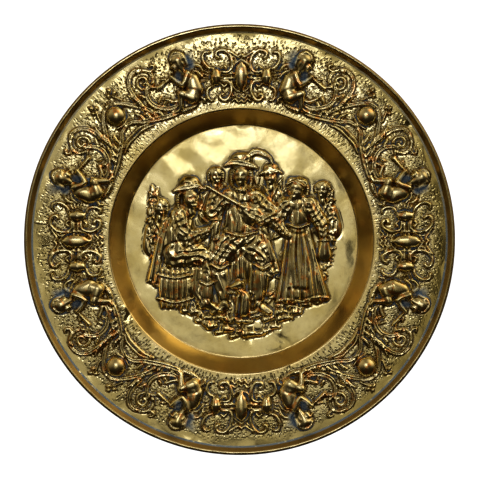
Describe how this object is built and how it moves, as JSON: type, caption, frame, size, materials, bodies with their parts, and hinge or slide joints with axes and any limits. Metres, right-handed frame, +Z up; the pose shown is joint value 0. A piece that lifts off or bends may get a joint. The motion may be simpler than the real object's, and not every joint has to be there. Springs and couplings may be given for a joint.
{
  "type": "embossed wall plate",
  "caption": "Round pressed brass wall plate with a sunk well of figures in relief, an ornamental border, a rolled edge and a hanging strap on its back.",
  "frame": {"origin": "on the hanging strap's back face, above its nail hole, where the strap lies against the wall", "axes": "+Y out of the plate's back, into the wall; +Z up as it hangs; the picture side looks along -Y"},
  "size_m": [0.36, 0.0265, 0.36],
  "materials": {
    "aged_brass": "polished on the high parts, dark brown patina and pale polish residue in the hollows",
    "strap_brass": "dull, unpolished"
  },
  "bodies": {
    "root": {"plate": "aged_brass", "hanging_strap": "strap_brass"}
  },
  "joints": []
}
